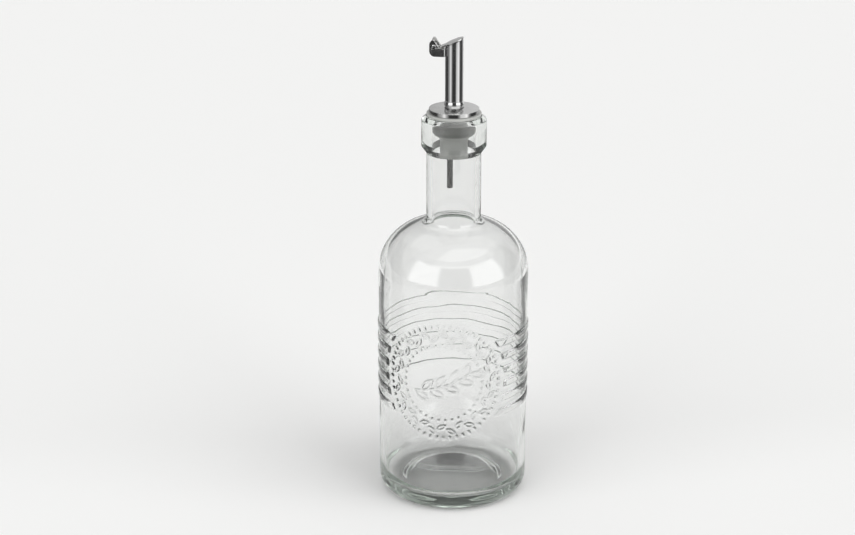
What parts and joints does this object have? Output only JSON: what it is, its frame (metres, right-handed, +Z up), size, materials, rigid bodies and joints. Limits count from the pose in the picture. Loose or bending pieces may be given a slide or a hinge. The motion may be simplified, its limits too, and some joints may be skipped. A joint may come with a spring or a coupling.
{
  "type": "oil and vinegar bottle",
  "caption": "Round clear glass bottle with a ribbed body and narrow neck, closed by a steel pourer whose hinged flap covers a slanted spout.",
  "frame": {"origin": "centre of the foot, on the surface that the bottle stands on", "axes": "+Z up along the bottle's axis; -Y is the front, with the round panel; the flap's hinge stands out towards -X and its pin lies along Y"},
  "size_m": [0.0772, 0.0766, 0.2395],
  "materials": {
    "glass": "clear, fire polished",
    "stopper_plastic": "translucent moulded plastic",
    "satin_steel": "satin stainless steel",
    "polished_steel": "polished stainless steel"
  },
  "bodies": {
    "bottle_and_pourer": {"bottle": "glass", "stopper": "stopper_plastic", "cap": "satin_steel", "spout": "polished_steel", "breather_tube": "polished_steel", "bracket": "polished_steel", "hinge_pin": "satin_steel"},
    "flap": {"flap": "satin_steel"}
  },
  "joints": [
    {"name": "flap_hinge", "type": "hinge", "parent": "bottle_and_pourer", "child": "flap", "pos_m": [-0.00966, 0, 0.2349], "axis": [0, -1, 0], "range_deg": [0, 80]}
  ]
}
